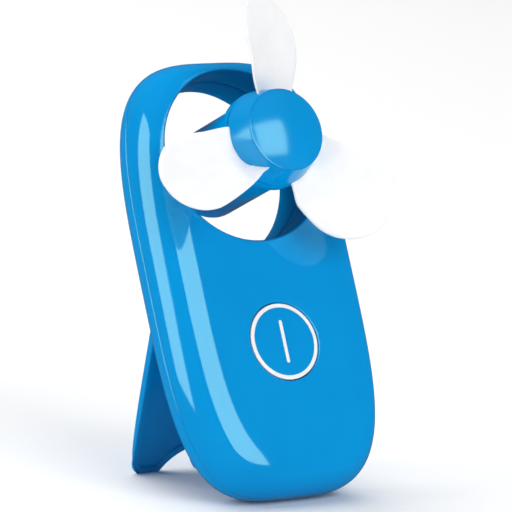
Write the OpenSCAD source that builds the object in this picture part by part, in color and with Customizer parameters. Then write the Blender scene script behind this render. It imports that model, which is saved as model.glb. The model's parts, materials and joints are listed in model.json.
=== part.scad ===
// Pocket fan with a squircle handle body, a round see-through window, a
// cantilevered motor pod with three soft blades, and a fold-out rear stand.
//
// The pieces are drawn upright: X to the right, Y to the back, Z up along the
// body, with the mid-plane at Y = 0.  placed() then leans them back on the stand.

/* [Body] */
// Height of the body along its own axis
body_h = 110; // [105:0.5:118]
// Width of the body
body_w = 57; // [55:0.5:60]
// Depth of the body from front face to back face
body_t = 19.5; // [19:0.1:21]
// How square the outline is (2 is an ellipse)
squareness = 3.62; // [3.2:0.02:4]
// How far the rounded edge comes in from the outline
edge_in = 6.5; // [5.5:0.1:7]
// How full the rounded edge is (2 is an ellipse)
edge_power = 1.84; // [1.7:0.02:2.2]
// Wall thickness of both shells
wall = 1.6; // [1.4:0.1:1.8]

/* [Window and fan] */
// Height of the window's centre
window_z = 84; // [83.5:0.1:84.5]
// Radius of the window
window_r = 21.8; // [21:0.1:22.2]
// Radius of the blade tips
blade_tip_r = 35.5; // [33:0.5:36]
// Turn of the rotor at rest, from blade 1 pointing to the right
rotor_angle = 75; // [60:0.2:90]
// Pitch of a blade at its root
pitch_root = 30.6; // [24:0.2:32]
// Pitch of a blade at its tip
pitch_tip = 18; // [12:1:24]

/* [Button] */
// Height of the button's centre
button_z = 36.5; // [36:0.1:37]
// Radius over the white ring
button_r = 9.5; // [9:0.1:10]
// Width of the white ring
ring_w = 1; // [0.8:0.1:1.2]
// How far the button travels
button_travel = 1.2; // [0.8:0.1:1.2]

/* [Stand] */
// Lean of the body from vertical
lean = 26.3; // [24:0.1:28]
// Opening angle of the stand from the back face
stand_open = 38.3; // [36:0.1:40]
// Width of the stand
stand_w = 41; // [38:0.5:42]
// Thickness of the stand
stand_t = 2.3; // [2:0.1:2.4]
// Height of the stand's hinge axis
hinge_z = 55.2; // [55:0.1:55.5]

/* [Hidden] */

body_blue = [0.0, 0.56, 0.86];
soft_white = [0.96, 0.96, 0.95];
steel = [0.72, 0.73, 0.75];
brass = [0.80, 0.66, 0.35];
copper = [0.75, 0.42, 0.22];
dark_plastic = [0.12, 0.12, 0.13];
green_board = [0.08, 0.38, 0.20];

// Points round the outline and rings from the mid-plane to a face
outline_steps = 96;
edge_rings = 8;
// Slack that carries one cut past the surface it opens
eps = 0.5;

half_t = body_t / 2;

// Shift that puts the middle of the footprint box over the origin
centre_x = 2.077;
centre_y = -24.363;

// --- Outline and placing -------------------------------------------------

function signed_pow(v, p) = sign(v) * pow(abs(v), p);

// How far the surface is inside the outline, v = 0 at mid-plane, 1 at a face
function edge_inset(v, depth) = depth * (1 - pow(1 - pow(v, edge_power), 1 / edge_power));

function outline(inset) = [for (i = [0:outline_steps - 1])
    let (a = 360 * i / outline_steps)
    [(body_w / 2 - inset) * signed_pow(cos(a), 2 / squareness),
     body_h / 2 + (body_h / 2 - inset) * signed_pow(sin(a), 2 / squareness)]];

// Rings of the rear half: [distance from the mid-plane, inset]
function half_rings(shrink, overlap) = concat(
    overlap > 0 ? [[-overlap, shrink]] : [],
    [for (k = [0:edge_rings]) let (v = sin(90 * k / edge_rings))
        [v * (half_t - shrink), shrink + edge_inset(v, edge_in - shrink)]]);

// Height of the lowest point of the leaning body, before it is lifted
low_point = min([for (ring = half_rings(0, 0)) for (p = outline(ring[1]))
    p[1] * cos(lean) - ring[0] * sin(lean)]);

module placed() {
    translate([centre_x, centre_y, -low_point]) rotate([-lean, 0, 0]) children();
}

// Solid rear half of the body, made smaller all round by shrink
module rear_half(shrink = 0, overlap = 0) {
    rings = half_rings(shrink, overlap);
    n = outline_steps;
    points = [for (ring = rings) for (p = outline(ring[1])) [p[0], ring[0], p[1]]];
    sides = [for (k = [0:len(rings) - 2]) for (i = [0:n - 1])
        let (a = k * n + i, b = k * n + (i + 1) % n)
        for (f = [[a, b, a + n], [b, b + n, a + n]]) f];
    first = [for (i = [n - 1:-1:0]) i];
    last = [for (i = [0:n - 1]) (len(rings) - 1) * n + i];
    polyhedron(points, concat(sides, [first, last]), convexity = 4);
}

// Cylinder along Y from y0 to y1
module along_y(x, z, y0, y1, r, r2 = -1) {
    translate([x, y0, z]) rotate([-90, 0, 0])
        cylinder(h = y1 - y0, r1 = r, r2 = r2 < 0 ? r : r2, $fn = 96);
}

// Cylinder along X, centred on x
module along_x(x, y, z, length, r) {
    translate([x - length / 2, y, z]) rotate([0, 90, 0])
        cylinder(h = length, r = r, $fn = 64);
}

// Cylinder along Z from z0 to z1
module along_z(x, y, z0, z1, r, r2 = -1) {
    translate([x, y, z0]) cylinder(h = z1 - z0, r1 = r, r2 = r2 < 0 ? r : r2, $fn = 64);
}

module box(x0, x1, y0, y1, z0, z1) {
    translate([x0, y0, z0]) cube([x1 - x0, y1 - y0, z1 - z0]);
}

// Closed tube swept along a list of points; ref is a direction off its path
module tube(path, r, sides = 8, ref = [0.13, 0.31, 0.94]) {
    last = len(path) - 1;
    function unit(v) = v / norm(v);
    function heading(i) = unit(path[min(i + 1, last)] - path[max(i - 1, 0)]);
    points = [for (i = [0:last])
        let (t = heading(i), u = unit(cross(t, ref)), w = cross(t, u))
        for (j = [0:sides - 1]) let (a = 360 * j / sides)
        path[i] + r * (cos(a) * u + sin(a) * w)];
    skin = [for (i = [0:last - 1]) for (j = [0:sides - 1])
        let (a = i * sides + j, b = i * sides + (j + 1) % sides)
        for (f = [[a, a + sides, b], [b, a + sides, b + sides]]) f];
    first = [for (j = [0:sides - 1]) j];
    end = [for (j = [sides - 1:-1:0]) last * sides + j];
    polyhedron(points, concat(skin, [first, end]), convexity = 6);
}

// --- Shells ----------------------------------------------------------------

tunnel_r = window_r + wall;
// Case screws: two beside the window, one low down between the cells
screw_places = [[-19.5, 60.9], [19.5, 60.9], [0, 11]];
screw_seat_y = 3.9;
screw_tip_y = -6.4;
boss_r = 2.6;
screw_hole_r = 1.15;
screw_pilot_r = 1.0;
head_hole_r = 2.1;
// Where the bridge arms pass through the tunnel wall
arm_y0 = 2.6;
arm_y1 = 7.2;
arm_half = 2.6;
arm_gap = 0.1;
// Board posts on the inside of the front face
board_y = 1;
board_t = 1;
post_places = [button_z - 13, button_z + 13];
button_gap = 0.3;

module window_bore() {
    along_y(0, window_z, -half_t - eps, half_t + eps, window_r);
}

// Hollow of one half, which stops at the tunnel wall
module rear_hollow() {
    difference() {
        rear_half(wall, eps);
        along_y(0, window_z, -half_t, half_t, tunnel_r);
    }
}

// Both tunnel-wall slots for the bridge arms, or the tongues that fill them
module arm_slots(y0, y1, gap) {
    for (side = [-1, 1])
        box(side * window_r - 4, side * window_r + 4, y0, y1,
            window_z - arm_half - gap, window_z + arm_half + gap);
}

module front_shell() color(body_blue) placed() difference() {
    union() {
        difference() {
            mirror([0, 1, 0]) rear_half();
            mirror([0, 1, 0]) rear_hollow();
        }
        for (p = screw_places) along_y(p[0], p[1], -half_t + wall / 2, 0, boss_r);
        for (z = post_places) along_y(0, z, -half_t + wall / 2, board_y, 2);
        intersection() {
            difference() {
                along_y(0, window_z, -eps, arm_y0 - arm_gap, tunnel_r);
                along_y(0, window_z, -eps - 1, arm_y0 + 1, window_r);
            }
            arm_slots(-eps, arm_y0 - arm_gap, -arm_gap);
        }
    }
    window_bore();
    along_y(0, button_z, -half_t - eps, -half_t + wall + eps, button_r + button_gap);
    for (p = screw_places) along_y(p[0], p[1], -half_t + wall + 1, eps, screw_pilot_r);
    for (z = post_places) along_y(0, z, board_y - 5, board_y + eps, 0.75);
}

// Pocket in the back that the closed stand folds into
pocket_gap = 0.35;
pocket_half = stand_w / 2 + pocket_gap;
pocket_y = half_t - stand_t - pocket_gap;
hinge_y = 8.05;
barrel_r = 1.65;
pocket_top = hinge_z + barrel_r + 0.6;
pocket_bottom = 6.4;
door_t = 1.6;
door_y = pocket_y - door_t;
door_half = stand_w / 2 - 2.3;
door_top = pocket_top - 0.3;
door_bottom = pocket_bottom + 1.8;
door_gap = 0.3;

module rear_shell() color(body_blue) placed() difference() {
    union() {
        difference() {
            rear_half();
            rear_hollow();
        }
        intersection() {
            rear_half();
            box(-pocket_half - wall, pocket_half + wall, door_y, half_t + eps,
                pocket_bottom - wall, pocket_top + wall);
        }
        for (p = screw_places) along_y(p[0], p[1], 0, screw_seat_y, boss_r);
        for (i = [0, 1]) along_y(screw_places[i][0], screw_places[i][1],
            screw_seat_y - eps, half_t - wall / 2, head_hole_r + 1);
        // Rib that carries the lowest boss from the edge of the door opening
        box(-boss_r, boss_r, screw_seat_y - 0.3, door_y + 0.1, pocket_bottom - 1.2, screw_places[2][1]);
    }
    window_bore();
    box(-pocket_half, pocket_half, pocket_y, half_t + eps, pocket_bottom, pocket_top);
    box(-door_half - door_gap, door_half + door_gap, door_y - eps, pocket_y + eps,
        door_bottom - door_gap, pocket_top);
    for (p = screw_places) {
        along_y(p[0], p[1], -eps, half_t, screw_hole_r);
        along_y(p[0], p[1], screw_seat_y, half_t + eps, head_hole_r);
    }
    arm_slots(-eps, arm_y1 + arm_gap, arm_gap);
}

screw_r = 0.95;
screw_head_r = 1.9;
screw_head_t = 0.9;
screw_crown_t = 0.5;

module case_screws() color(steel) placed() for (p = screw_places) difference() {
    head_y = screw_seat_y + screw_head_t;
    union() {
        along_y(p[0], p[1], screw_tip_y, head_y, screw_r);
        along_y(p[0], p[1], screw_seat_y, head_y, screw_head_r);
        along_y(p[0], p[1], head_y, head_y + screw_crown_t, screw_head_r, 0.7 * screw_head_r);
    }
    // Cross recess
    for (turn = [0, 90]) translate([p[0], 0, p[1]]) rotate([0, turn, 0])
        box(-screw_r, screw_r, screw_seat_y + 0.6, head_y + 1, -0.2, 0.2);
}

// --- Battery door and stand ------------------------------------------------

pin_r = 0.75;
pin_hold = 0.02;
pin_run = 0.06;
// The barrel runs between the door's two lugs
lug_w = 3;
barrel_half = door_half - lug_w - 0.3;

module battery_door() color(body_blue) placed() difference() {
    union() {
        box(-door_half, door_half, door_y, pocket_y, door_bottom, door_top);
        for (side = [-1, 1]) {
            along_x(side * (door_half - lug_w / 2), hinge_y, hinge_z, lug_w, barrel_r);
            box(side * (door_half - lug_w / 2) - lug_w / 2,
                side * (door_half - lug_w / 2) + lug_w / 2,
                pocket_y - eps, hinge_y, hinge_z - barrel_r, hinge_z + barrel_r);
        }
    }
    // Trough that clears the stand's barrel
    along_x(0, hinge_y, hinge_z, 2 * barrel_half + 0.6, barrel_r + 0.35);
    along_x(0, hinge_y, hinge_z, stand_w, pin_r + pin_hold);
    // Finger notch at the lower edge
    along_y(0, door_bottom - 3, door_y + 0.6, pocket_y + eps, 5);
}

module stand_pin() color(steel) placed()
    along_x(0, hinge_y, hinge_z, 2 * door_half - 0.4, pin_r);

foot_corner_r = 3.5;
foot_z = 6.8;
arch_r = 14.7;
arch_rise = 6.5;
rim_w = 1.8;
panel_depth = 0.5;
plate_y = half_t - stand_t;

// Outline of the stand, in X and Z, brought in by inset
module stand_outline(inset) {
    half = stand_w / 2 - inset;
    r = foot_corner_r - inset / 2;
    low = foot_z + inset;
    top = hinge_z - 2.2 - inset;
    difference() {
        union() {
            translate([-half, low + r]) square([2 * half, top - low - r]);
            translate([-half + r, low]) square([2 * (half - r), r + eps]);
            for (side = [-1, 1]) translate([side * (half - r), low + r]) circle(r, $fn = 64);
        }
        translate([0, foot_z + arch_rise - arch_r]) circle(arch_r + inset, $fn = 128);
    }
}

module extruded_y(y0, y1) {
    translate([0, y1, 0]) rotate([90, 0, 0]) linear_extrude(y1 - y0) children();
}

module closed_stand() difference() {
    union() {
        intersection() {
            rear_half();
            extruded_y(plate_y, half_t + eps) stand_outline(0);
        }
        // Neck between the plate and the barrel
        box(-barrel_half, barrel_half, plate_y, half_t - 0.15, hinge_z - 3, hinge_z);
        along_x(0, hinge_y, hinge_z, 2 * barrel_half, barrel_r);
    }
    extruded_y(plate_y - eps, plate_y + panel_depth) stand_outline(rim_w);
    along_x(0, hinge_y, hinge_z, stand_w, pin_r + pin_run);
}

module kickstand() color(body_blue) difference() {
    placed() translate([0, hinge_y, hinge_z]) rotate([stand_open, 0, 0])
        translate([0, -hinge_y, -hinge_z]) closed_stand();
    // The feet are cut level with the surface that the fan stands on
    box(-stand_w, stand_w, -body_h, body_h, -body_h, 0);
}

// --- Button and switch -----------------------------------------------------

cap_y = -half_t - 0.05;
cap_t = 2;
flange_y = -half_t + wall + 0.35;
flange_t = 0.8;
plunger_half = 1.2;
switch_y0 = -3.6;
switch_half = 3.5;
plunger_y0 = switch_y0 - button_travel - 0.1;
plunger_y1 = switch_y0 + 1.4;
mark_len = 10.7;
mark_w = 0.9;
mark_t = 0.4;

// Button coordinates: the middle of the cap at the origin
module at_button() placed() translate([0, 0, button_z]) children();

module mark_shape() {
    for (end = [-1, 1]) translate([0, end * (mark_len - mark_w) / 2]) circle(mark_w / 2, $fn = 32);
    square([mark_w, mark_len - mark_w], center = true);
}

module power_button() color(body_blue) at_button() difference() {
    union() {
        along_y(0, 0, cap_y, flange_y + flange_t, button_r - ring_w);
        along_y(0, 0, cap_y + cap_t / 2, flange_y + flange_t, button_r);
        along_y(0, 0, flange_y, flange_y + flange_t, button_r + 1.2);
        along_y(0, 0, flange_y, plunger_y0, 1.8);
    }
    extruded_y(cap_y - eps, cap_y + mark_t) mark_shape();
}

module button_ring() color(soft_white) at_button() difference() {
    along_y(0, 0, cap_y, cap_y + cap_t / 2, button_r);
    along_y(0, 0, cap_y - eps, cap_y + cap_t, button_r - ring_w);
}

module button_mark() color(soft_white) at_button()
    extruded_y(cap_y, cap_y + mark_t) mark_shape();

module switch_plunger() color(soft_white) at_button()
    box(-plunger_half, plunger_half, plunger_y0, plunger_y1, -plunger_half, plunger_half);

module switch_body() color(dark_plastic) at_button() difference() {
    box(-switch_half, switch_half, switch_y0, board_y, -switch_half, switch_half);
    box(-plunger_half - 0.3, plunger_half + 0.3, switch_y0 - eps,
        plunger_y1 + button_travel + 0.4, -plunger_half - 0.3, plunger_half + 0.3);
}

pin_places = [-2.5, 2.5];
pin_half = 0.3;
board_half_w = 6.5;
board_past_post = 3;

module switch_pins() color(steel) at_button() for (x = pin_places, z = pin_places)
    box(x - pin_half, x + pin_half, board_y, board_y + board_t + 1, z - pin_half, z + pin_half);

module circuit_board() color(green_board) placed() difference() {
    box(-board_half_w, board_half_w, board_y, board_y + board_t,
        post_places[0] - board_past_post, post_places[1] + board_past_post);
    for (z = post_places) along_y(0, z, board_y - eps, board_y + board_t + eps, 0.9);
    hole = pin_half + 0.02;
    for (x = pin_places, z = pin_places)
        box(x - hole, x + hole, board_y - eps, board_y + board_t + eps,
            button_z + z - hole, button_z + z + hole);
}

module board_screws() color(steel) placed() for (z = post_places) {
    along_y(0, z, board_y - 4, board_y + board_t + 0.1, 0.7);
    along_y(0, z, board_y + board_t, board_y + board_t + 1, 1.5, 1.1);
}

// --- Cells and contacts ----------------------------------------------------

cell_x = 13;
cell_r = 5.25;
cell_z0 = 9.6;
cell_len = 43.7;
nub_r = 1.9;
nub_h = 0.8;
plate_t = 0.5;
spring_r = 3;
spring_narrowing = 1.4;
spring_turns = 3;
wire_r = 0.35;

// One AAA cell standing on z0, with its nub up or down
module cell(x, nub_up) {
    z1 = cell_z0 + cell_len;
    along_z(x, 0, cell_z0, z1, cell_r);
    if (nub_up) along_z(x, 0, z1 - eps, z1 + nub_h, nub_r);
    else along_z(x, 0, cell_z0 - nub_h, cell_z0 + eps, nub_r);
}

module battery_1() color(dark_plastic) placed() cell(-cell_x, true);

module battery_2() color(dark_plastic) placed() cell(cell_x, false);

low_plate_z = cell_z0 - 3.4;
high_plate_z = cell_z0 + cell_len + 1.6;
// The negative plate sits higher, which leaves room for its spring
spring_rise = 1.4;
contact_half = 4;
contact_depth = 3.5;
dimple_r = 1.4;
dimple_base_r = 2.2;

module bridge_contact() color(steel) placed() {
    box(-cell_x - contact_half, cell_x + contact_half, -contact_depth, contact_depth,
        low_plate_z, low_plate_z + plate_t);
    along_z(cell_x, 0, low_plate_z, cell_z0 - nub_h, dimple_base_r, dimple_r);
}

module positive_contact() color(steel) placed() {
    box(-cell_x - contact_half, -cell_x + contact_half, -contact_depth - 0.5, contact_depth,
        high_plate_z, high_plate_z + plate_t);
    along_z(-cell_x, 0, cell_z0 + cell_len + nub_h, high_plate_z + eps / 2, dimple_r, dimple_base_r);
}

module negative_contact() color(steel) placed()
    box(cell_x - contact_half, cell_x + contact_half, -contact_depth - 0.5, contact_depth,
        high_plate_z + spring_rise, high_plate_z + spring_rise + plate_t);

// Conical coil spring from z0, wide, to z1, narrow
module coil_spring(x, z0, z1, turns) {
    steps = turns * 14;
    tube([for (i = [0:steps]) let (f = i / steps, r = spring_r - spring_narrowing * f)
        [x + r * cos(360 * turns * f), r * sin(360 * turns * f), z0 + (z1 - z0) * f]],
        wire_r, 6, [0, 0, 1]);
}

module bottom_spring() color(steel) placed()
    coil_spring(-cell_x, low_plate_z + plate_t + wire_r, cell_z0 - wire_r, spring_turns);

module top_spring() color(steel) placed()
    coil_spring(cell_x, high_plate_z + spring_rise - wire_r, cell_z0 + cell_len + wire_r, spring_turns);

// --- Motor pod -------------------------------------------------------------

pod_r = 10.8;
pod_wall = 1.3;
pod_front = -19;
pod_back = 9.2;
cap_front = -21.4;
pod_cap_r = 12.3;
can_r = 8.9;
can_t = 0.5;
can_front = -16.6;
can_back = 4;
bell_back = 6.2;
shaft_r = 1;
shaft_run = 0.05;
shaft_front = -27.4;
shaft_back = 6;
bushing_r = 2.4;
arm_end = window_r + wall + 0.1;
bell_r = 8.2;

// Motor coordinates: the shaft axis along Y through the origin
module at_motor() placed() translate([0, 0, window_z]) children();

module motor_pod() color(body_blue) at_motor() difference() {
    union() {
        along_y(0, 0, pod_front, pod_back, pod_r);
        box(-arm_end, arm_end, arm_y0, arm_y1, -arm_half, arm_half);
    }
    along_y(0, 0, pod_front - eps, pod_back - pod_wall, pod_r - pod_wall);
    // Wire channel along the left-hand arm
    box(-arm_end - eps, -pod_r + 2, arm_y0 + 0.6, arm_y1 - 0.5, -1.4, 1.4);
}

module pod_front_cap() color(body_blue) at_motor() difference() {
    union() {
        along_y(0, 0, cap_front, pod_front, pod_cap_r);
        along_y(0, 0, pod_front - eps, can_front, pod_r - pod_wall - 0.05);
    }
    along_y(0, 0, cap_front - eps, can_front + eps, shaft_r + 0.6);
    along_y(0, 0, can_front - 1.1, can_front + eps, bushing_r + 0.1);
}

module motor_can() color(steel) at_motor() difference() {
    along_y(0, 0, can_front, can_back, can_r);
    along_y(0, 0, can_front + can_t, can_back + eps, can_r - can_t);
    along_y(0, 0, can_front - eps, can_front + can_t + eps, bushing_r);
}

module motor_end_bell() color(dark_plastic) at_motor() difference() {
    union() {
        along_y(0, 0, can_back, can_back + 0.6, can_r);
        along_y(0, 0, can_back, bell_back, bell_r);
        along_y(0, 0, can_back - 1.5, can_back + eps, can_r - can_t - 0.05);
    }
    along_y(0, 0, can_back - 2, bell_back - 1, 3.6);
    along_y(0, 0, bell_back - 2, bell_back + eps, bushing_r);
}

// Plain bearing that the shaft turns in
module bushing(y0, y1) difference() {
    along_y(0, 0, y0, y1, bushing_r);
    along_y(0, 0, y0 - eps, y1 + eps, shaft_r + shaft_run);
}

module front_bushing() color(brass) at_motor() bushing(can_front - 1, can_front + 1.4);

module rear_bushing() color(brass) at_motor() bushing(bell_back - 1.9, bell_back);

magnet_r = 6.5;

module motor_magnets() color(dark_plastic) at_motor() for (side = [0, 180])
    rotate([0, side, 0]) intersection() {
        difference() {
            along_y(0, 0, can_front + 4, can_back - 4, can_r - can_t);
            along_y(0, 0, can_front + 3, can_back - 3, magnet_r);
        }
        box(0, can_r, can_front, can_back, -5, 5);
    }

brush_x = 2.9;
tag_x = 5.5;

module motor_brushes() color(copper) at_motor() for (side = [-1, 1]) {
    box(side * brush_x - 0.5, side * brush_x + 0.5, can_back - 1.4, can_back + 0.9, -0.8, 0.8);
    // Solder tag on the outside of the end bell
    box(side * tag_x - 0.4, side * tag_x + 0.4, bell_back, bell_back + 1.4, -1, 1);
}

// --- Rotor -----------------------------------------------------------------

hub_back = -21.75;
hub_front = -28.7;
hub_back_r = 12.25;
hub_front_r = 10.3;
hub_wall = 1.5;
dome_h = 2.6;
blade_y = -22.6;
blade_t = 1.1;
blade_root_r = 9.8;
// Half of a blade ahead of its axis and half behind: chord, share of it at the root,
// span fraction where it is full, how fast it swells, and where the tip starts to round
lead_half = 11.8;
lead_root = 0.76;
lead_full = 0.62;
lead_swell = 0.74;
lead_round = 0.6;
trail_half = 10.4;
trail_root = 0.67;
trail_full = 0.74;
trail_swell = 0.93;
trail_round = 0.48;
// The half behind starts flatter and takes up the pitch within this share of the span
trail_pitch_root = 12;
trail_twist_end = 0.2;
blade_bow = 0.004;
blade_sweep = 2.4;
tab_low = -0.6;
tab_high = 6;
slot_gap = 0.05;
core_r = 5.8;
core_y0 = -11.5;
core_y1 = -3.5;
core_middle_r = 2.3;
pole_half = 1.2;
shoe_in = 4.2;
rotor_fit = 0.02;

module motor_shaft() color(steel) at_motor() along_y(0, 0, shaft_front, shaft_back, shaft_r);

// Three straight poles on a round middle, each with a shoe at its end
module armature_core() color(steel) at_motor() extruded_y(core_y0, core_y1) difference() {
    union() {
        circle(core_middle_r, $fn = 64);
        for (pole = [0:2]) rotate(120 * pole + 90) {
            translate([core_middle_r / 2, -pole_half]) square([shoe_in - 0.8, 2 * pole_half]);
            intersection() {
                circle(core_r, $fn = 96);
                translate([shoe_in, -4]) square([2, 8]);
            }
        }
    }
    circle(shaft_r + rotor_fit, $fn = 64);
}

module armature_windings() color(copper) at_motor() for (pole = [0:2])
    rotate([0, -120 * pole - 90, 0]) difference() {
        box(2.6, shoe_in - 0.05, core_y0 - 1.1, core_y1 + 1.1, -pole_half - 1, pole_half + 1);
        box(2, 5, core_y0 - 0.05, core_y1 + 0.05, -pole_half - 0.05, pole_half + 0.05);
    }

module commutator() color(copper) at_motor() difference() {
    along_y(0, 0, -0.6, can_back + 0.3, 2.2);
    along_y(0, 0, -1, can_back + 1, shaft_r + rotor_fit);
    // Gaps between the three segments
    for (cut = [0:2]) rotate([0, 120 * cut, 0]) box(1.5, 3, -0.2, can_back + 1, -0.15, 0.15);
}

// Blade coordinates: span along X, chord across, turned to blade number i
module at_blade(i) at_motor() rotate([0, -rotor_angle - 120 * i, 0])
    translate([0, blade_y, 0]) children();

module root_slot(gap) rotate([pitch_root, 0, 0])
    box(6.5, 11.2, -blade_t / 2 - gap, blade_t / 2 + gap, tab_low - gap, tab_high + gap);

// The hub is an upturned cup: tapered wall, front plate and a boss for the shaft
module fan_hub() color(body_blue) difference() {
    at_motor() difference() {
        union() {
            difference() {
                along_y(0, 0, hub_front, hub_back, hub_front_r, hub_back_r);
                along_y(0, 0, hub_front + hub_wall, hub_back + eps,
                    hub_front_r - hub_wall - 0.8, hub_back_r - hub_wall);
            }
            along_y(0, 0, hub_front + 0.2, hub_back + 0.1, 3);
            difference() {
                along_y(0, 0, hub_front + 0.2, hub_back - 0.4, hub_front_r);
                along_y(0, 0, hub_front + 0.2 + hub_wall, hub_back, 6);
            }
        }
        along_y(0, 0, shaft_front, hub_back + eps, shaft_r + rotor_fit);
        along_y(0, 0, hub_front - eps, hub_front + 0.6, 4);
    }
    for (i = [0:2]) at_blade(i) root_slot(slot_gap);
}

// Domed cap on the front of the hub, a spherical skin with a short plug
module spinner_cap() color(body_blue) at_motor() {
    sphere_r = (hub_front_r * hub_front_r + dome_h * dome_h) / (2 * dome_h);
    intersection() {
        translate([0, hub_front - dome_h + sphere_r, 0]) rotate([90, 0, 0])
            sphere(sphere_r, $fn = 96);
        along_y(0, 0, hub_front - dome_h - 1, hub_front, hub_front_r + 1);
    }
    along_y(0, 0, hub_front - 0.1, hub_front + 0.6, 3.95);
}

// Half-chord at span fraction u, ahead of (v > 0) or behind (v < 0) the axis
function half_chord(u, v) = let (
    full = v > 0 ? lead_half : trail_half,
    root = v > 0 ? lead_root : trail_root,
    reach = v > 0 ? lead_full : trail_full,
    swell = v > 0 ? lead_swell : trail_swell,
    start = v > 0 ? lead_round : trail_round,
    grow = root + (1 - root) * pow(sin(90 * min(1, u / reach)), swell),
    tip = u < start ? 1 : sqrt(max(0, 1 - pow((u - start) / (1 - start), 2))))
    full * grow * tip;

// Pitch at span fraction u for a point s ahead of or behind the axis
function pitch_at(u, s) = let (
    whole = pitch_root + (pitch_tip - pitch_root) * u,
    w = min(1, u / trail_twist_end),
    share = s > 0 ? 1 : w * w * (3 - 2 * w))
    trail_pitch_root * (1 - share) + whole * share;

span_steps = 18;
chord_steps = 8;

// Point on one face of a blade: u along the span, v across the chord
function blade_point(u, v, face) = let (
    r = blade_root_r + (blade_tip_r - blade_root_r) * u,
    s = v * half_chord(u, v) + blade_sweep * u * u,
    pitch = pitch_at(u, s),
    // Near the hub the sheet stays in front of the pod's flange
    rear = cap_front - blade_y - blade_t / 2 - 0.1 + 0.9 * max(0, r - pod_cap_r - 0.4),
    y = min(rear, -s * sin(pitch) - blade_bow * s * s))
    [r, y + face * blade_t / 2, s * cos(pitch)];

module blade(i) color(soft_white) at_blade(i) {
    rows = span_steps + 1;
    cols = chord_steps + 1;
    // Steps crowd towards the rounded tip
    points = [for (face = [-1, 1]) for (a = [0:span_steps])
        let (u = sin(88.5 * a / span_steps)) for (b = [0:chord_steps])
        blade_point(u, 2 * b / chord_steps - 1, face)];
    n = rows * cols;
    front = [for (a = [0:span_steps - 1]) for (b = [0:chord_steps - 1])
        let (p = a * cols + b) for (f = [[p, p + 1, p + cols], [p + 1, p + cols + 1, p + cols]]) f];
    back = [for (f = front) [f[0] + n, f[2] + n, f[1] + n]];
    root = [for (b = [0:chord_steps - 1]) for (f = [[b, b + n, b + 1], [b + 1, b + n, b + 1 + n]]) f];
    q = span_steps * cols;
    tip = [for (b = [0:chord_steps - 1])
        for (f = [[q + b, q + b + 1, q + b + n], [q + b + 1, q + b + 1 + n, q + b + n]]) f];
    low = [for (a = [0:span_steps - 1]) let (p = a * cols)
        for (f = [[p, p + cols, p + n], [p + cols, p + cols + n, p + n]]) f];
    high = [for (a = [0:span_steps - 1]) let (p = a * cols + chord_steps)
        for (f = [[p, p + n, p + cols], [p + cols, p + n, p + cols + n]]) f];
    difference() {
        polyhedron(points, concat(front, back, root, tip, low, high), convexity = 6);
        // The root is cut to the hub's side and clears the pod's flange behind it
        translate([0, -blade_y, 0]) {
            along_y(0, 0, hub_front, hub_back, hub_front_r, hub_back_r);
            along_y(0, 0, hub_back - eps, pod_front + 4, pod_cap_r + 0.5);
        }
    }
    root_slot(0);
}

module blade_1() blade(0);
module blade_2() blade(1);
module blade_3() blade(2);

// --- Wires -----------------------------------------------------------------

lead_r = 0.55;
// From the positive contact to the board
red_route = [[-9, -2.5, 55.6], [-8, -2.5, 57.6], [-5, -2.2, 58], [-3, -1, 56.5],
    [-3, 0, 54], [-3, 0.4, 52], [-3, 0.42, 49]];
// From the negative contact round the window and along the arm to the motor
black_route = [[9, -2.5, 57.4], [7, -3.2, 59], [0, -4, 59.4], [-8, -4, 59.2], [-13, -2, 60.5],
    [-19, 1.4, 66], [-23.4, 1.2, 72], [-25.2, 1.6, 78], [-24.7, 2.4, 81.8], [-24.3, 3.9, 83.35],
    [-23, 4.4, 83.35], [-16, 4.9, 83.35], [-11.5, 5.9, 83.35], [-9.2, 6.05, 83.35],
    [-8.4, 6.85, 83.4], [-7, 6.9, 83.6], [-6.1, 6.9, 83.8]];
// From the board round the window and along the arm to the motor
switched_route = [[3, 0.42, 49], [3, 0, 53], [2, -2, 56.5], [-2, -5.4, 58], [-9, -5.6, 57.8],
    [-13.4, -4.2, 61.6], [-16.4, -2.8, 64.5], [-20.6, -1.4, 69.5], [-24, -0.6, 75], [-25.4, -0.4, 79],
    [-25, 0.9, 82.9], [-24.3, 3.9, 84.75], [-23, 4.4, 84.75], [-16, 4.9, 84.75], [-11.5, 5.9, 84.75],
    [-9.2, 6.05, 84.75], [-8.4, 6.85, 84.85], [-5, 7.2, 88], [0, 7.2, 88.4], [4, 7.2, 87.2],
    [5.5, 7.1, 85.6]];

module red_wire() color("firebrick") placed() tube(red_route, lead_r);
module black_wire() color(dark_plastic) placed() tube(black_route, lead_r);
module motor_wire() color(soft_white) placed() tube(switched_route, lead_r);

// --- Assembly --------------------------------------------------------------

front_shell();
rear_shell();
case_screws();
battery_door();
stand_pin();
kickstand();
power_button();
button_ring();
button_mark();
switch_plunger();
switch_body();
switch_pins();
circuit_board();
board_screws();
battery_1();
battery_2();
bridge_contact();
positive_contact();
negative_contact();
bottom_spring();
top_spring();
motor_pod();
pod_front_cap();
motor_can();
motor_end_bell();
front_bushing();
rear_bushing();
motor_magnets();
motor_brushes();
motor_shaft();
armature_core();
armature_windings();
commutator();
fan_hub();
spinner_cap();
blade_1();
blade_2();
blade_3();
red_wire();
black_wire();
motor_wire();
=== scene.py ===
import json
import math

import bmesh
import bpy
from mathutils import Matrix, Vector
from mathutils.geometry import delaunay_2d_cdt


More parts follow.
